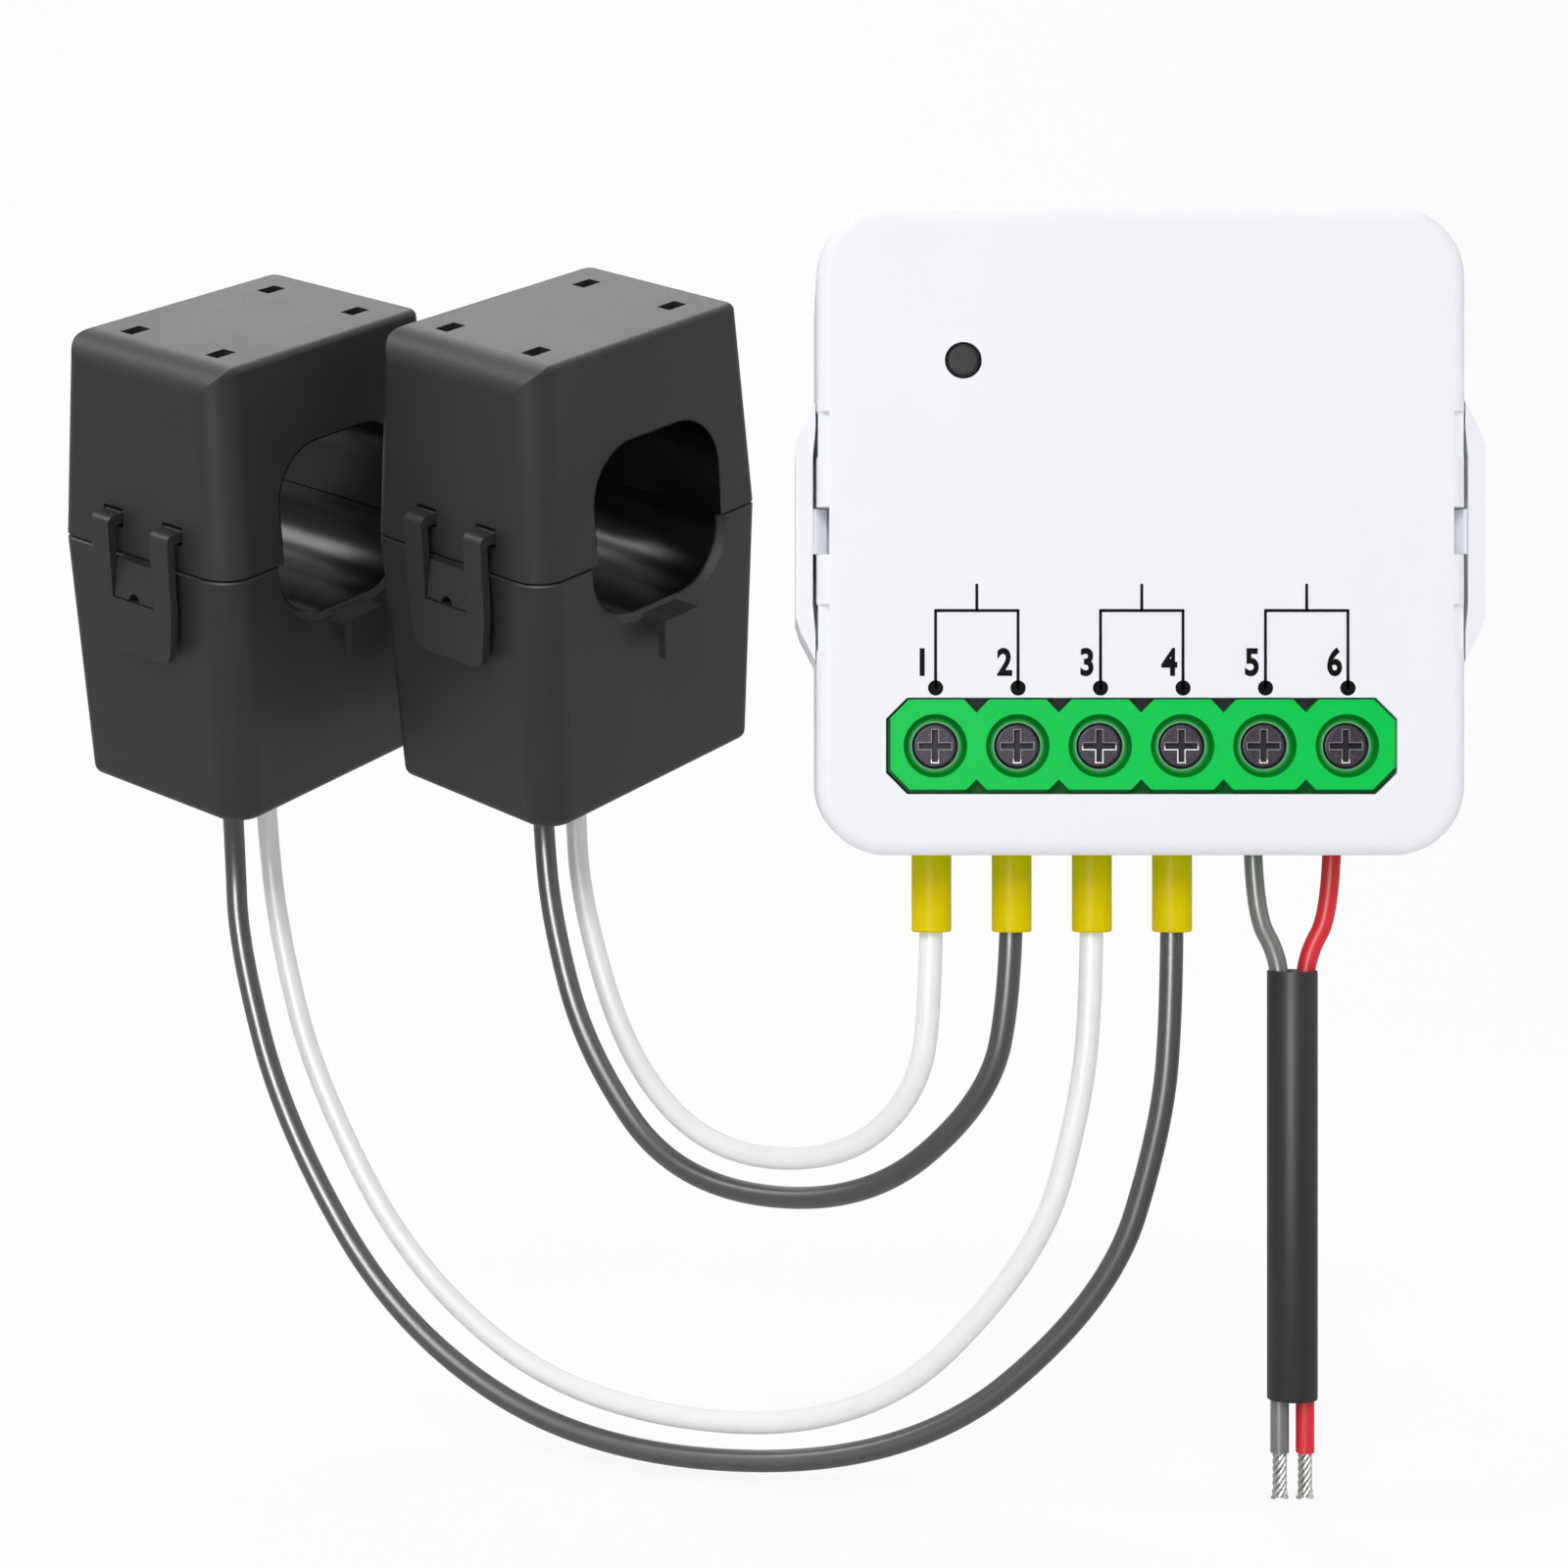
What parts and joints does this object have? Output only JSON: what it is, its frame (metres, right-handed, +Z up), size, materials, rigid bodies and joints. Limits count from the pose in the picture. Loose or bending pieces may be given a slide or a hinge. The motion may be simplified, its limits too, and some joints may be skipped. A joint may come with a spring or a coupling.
{
  "type": "smart energy monitor",
  "caption": "Small white square meter module with screw terminals, a mains lead and split-core current clamps on leads.",
  "frame": {"origin": "middle of the meter module's flat rear face, which is held against the wall of the enclosure", "axes": "+X to the right of the printed face, +Y away from the viewer and out of the rear face, +Z up"},
  "size_m": [0.1064, 0.0504, 0.0953],
  "materials": {
    "case_white": "satin",
    "clamp_black": "matte",
    "terminal_green": "satin",
    "screw_dark": "satin",
    "steel": "satin",
    "tinned_copper": "satin",
    "button_dark": "satin",
    "board_green": "satin",
    "component_black": "matte",
    "capacitor_sleeve": "gloss",
    "varistor_blue": "gloss",
    "fuse_green": "gloss",
    "ferrite": "matte",
    "core_steel": "satin",
    "winding_copper": "gloss",
    "bobbin_white": "satin",
    "sleeve_yellow": "satin",
    "wire_white": "satin",
    "wire_black": "satin",
    "wire_grey": "satin",
    "wire_red": "satin",
    "sheath_black": "satin"
  },
  "bodies": {
    "meter": {"rear_housing": "case_white", "front_cover": "case_white", "tact_switch": "component_black", "main_board": "board_green", "radio_board": "board_green", "radio_shield": "steel", "metering_chip": "component_black", "power_capacitors": "capacitor_sleeve", "power_inductor": "ferrite", "fuse_resistor": "fuse_green", "surge_varistor": "varistor_blue", "terminal_block": "terminal_green", "terminal_contacts": "tinned_copper", "right_white_lead": "wire_white", "right_black_lead": "wire_black", "left_white_lead": "wire_white", "left_black_lead": "wire_black", "neutral_core": "wire_grey", "live_core": "wire_red", "mains_sheath": "sheath_black", "neutral_strands": "tinned_copper", "live_strands": "tinned_copper", "ferrule_sleeves": "sleeve_yellow", "ferrule_pins": "tinned_copper", "right_lower_shell": "clamp_black", "right_lower_core": "core_steel", "right_coil_bobbin": "bobbin_white", "right_coil_winding": "winding_copper", "right_hinge_pin": "clamp_black", "left_lower_shell": "clamp_black", "left_lower_core": "core_steel", "left_coil_bobbin": "bobbin_white", "left_coil_winding": "winding_copper", "left_hinge_pin": "clamp_black"},
    "reset_button": {"reset_button": "button_dark"},
    "screw_1": {"terminal_screw_1": "screw_dark"},
    "cage_1": {"clamp_cage_1": "steel"},
    "screw_2": {"terminal_screw_2": "screw_dark"},
    "cage_2": {"clamp_cage_2": "steel"},
    "screw_3": {"terminal_screw_3": "screw_dark"},
    "cage_3": {"clamp_cage_3": "steel"},
    "screw_4": {"terminal_screw_4": "screw_dark"},
    "cage_4": {"clamp_cage_4": "steel"},
    "screw_5": {"terminal_screw_5": "screw_dark"},
    "cage_5": {"clamp_cage_5": "steel"},
    "screw_6": {"terminal_screw_6": "screw_dark"},
    "cage_6": {"clamp_cage_6": "steel"},
    "right_clamp_upper": {"right_upper_shell": "clamp_black", "right_upper_core": "core_steel", "right_core_spring": "steel"},
    "right_latch": {"right_latch_frame": "clamp_black"},
    "left_clamp_upper": {"left_upper_shell": "clamp_black", "left_upper_core": "core_steel", "left_core_spring": "steel"},
    "left_latch": {"left_latch_frame": "clamp_black"}
  },
  "joints": [
    {"name": "reset_press", "type": "slide", "parent": "meter", "child": "reset_button", "axis": [0, 1, 0], "range_m": [0, 0.0004], "stiffness_N_per_m": 300},
    {"name": "screw_1_turn", "type": "hinge", "parent": "meter", "child": "screw_1", "pos_m": [-0.01457, -0.0163, -0.01524], "axis": [0, -1, 0], "range_deg": [0, 990]},
    {"name": "cage_1_slide", "type": "slide", "parent": "meter", "child": "cage_1", "axis": [0, 1, 0], "range_m": [0, 0.0011]},
    {"name": "screw_2_turn", "type": "hinge", "parent": "meter", "child": "screw_2", "pos_m": [-0.00874, -0.0163, -0.01524], "axis": [0, -1, 0], "range_deg": [0, 990]},
    {"name": "cage_2_slide", "type": "slide", "parent": "meter", "child": "cage_2", "axis": [0, 1, 0], "range_m": [0, 0.0011]},
    {"name": "screw_3_turn", "type": "hinge", "parent": "meter", "child": "screw_3", "pos_m": [-0.00292, -0.0163, -0.01524], "axis": [0, -1, 0], "range_deg": [0, 990]},
    {"name": "cage_3_slide", "type": "slide", "parent": "meter", "child": "cage_3", "axis": [0, 1, 0], "range_m": [0, 0.0011]},
    {"name": "screw_4_turn", "type": "hinge", "parent": "meter", "child": "screw_4", "pos_m": [0.00292, -0.0163, -0.01524], "axis": [0, -1, 0], "range_deg": [0, 990]},
    {"name": "cage_4_slide", "type": "slide", "parent": "meter", "child": "cage_4", "axis": [0, 1, 0], "range_m": [0, 0.0011]},
    {"name": "screw_5_turn", "type": "hinge", "parent": "meter", "child": "screw_5", "pos_m": [0.00874, -0.0163, -0.01524], "axis": [0, -1, 0], "range_deg": [0, 990]},
    {"name": "cage_5_slide", "type": "slide", "parent": "meter", "child": "cage_5", "axis": [0, 1, 0], "range_m": [0, 0.0011]},
    {"name": "screw_6_turn", "type": "hinge", "parent": "meter", "child": "screw_6", "pos_m": [0.01457, -0.0163, -0.01524], "axis": [0, -1, 0], "range_deg": [0, 990]},
    {"name": "cage_6_slide", "type": "slide", "parent": "meter", "child": "cage_6", "axis": [0, 1, 0], "range_m": [0, 0.0011]},
    {"name": "right_clamp_open", "type": "hinge", "parent": "meter", "child": "right_clamp_upper", "pos_m": [-0.03346, 0.01526, 0.0077], "axis": [-0.7627, 0.5793, 0.2876], "range_deg": [0, 100], "deforming": ["right_latch_frame"]},
    {"name": "right_latch_swing", "type": "hinge", "parent": "right_clamp_upper", "child": "right_latch", "pos_m": [-0.0499, -0.00339, 0.00168], "axis": [-0.7627, 0.5793, 0.2876], "range_deg": [0, 14], "stiffness_Nm_per_rad": 0.05},
    {"name": "left_clamp_open", "type": "hinge", "parent": "meter", "child": "left_clamp_upper", "pos_m": [-0.06002, 0.02107, 0.00806], "axis": [-0.8176, 0.5069, 0.273], "range_deg": [0, 100], "deforming": ["left_latch_frame"]},
    {"name": "left_latch_swing", "type": "hinge", "parent": "left_clamp_upper", "child": "left_latch", "pos_m": [-0.07453, 0.00086, 0.00212], "axis": [-0.8176, 0.5069, 0.273], "range_deg": [0, 14], "stiffness_Nm_per_rad": 0.05}
  ],
  "couplings": [
    {"joint": "screw_1_turn", "follows": "cage_1_slide", "rad_per_m": 15708},
    {"joint": "screw_2_turn", "follows": "cage_2_slide", "rad_per_m": 15708},
    {"joint": "screw_3_turn", "follows": "cage_3_slide", "rad_per_m": 15708},
    {"joint": "screw_4_turn", "follows": "cage_4_slide", "rad_per_m": 15708},
    {"joint": "screw_5_turn", "follows": "cage_5_slide", "rad_per_m": 15708},
    {"joint": "screw_6_turn", "follows": "cage_6_slide", "rad_per_m": 15708}
  ]
}
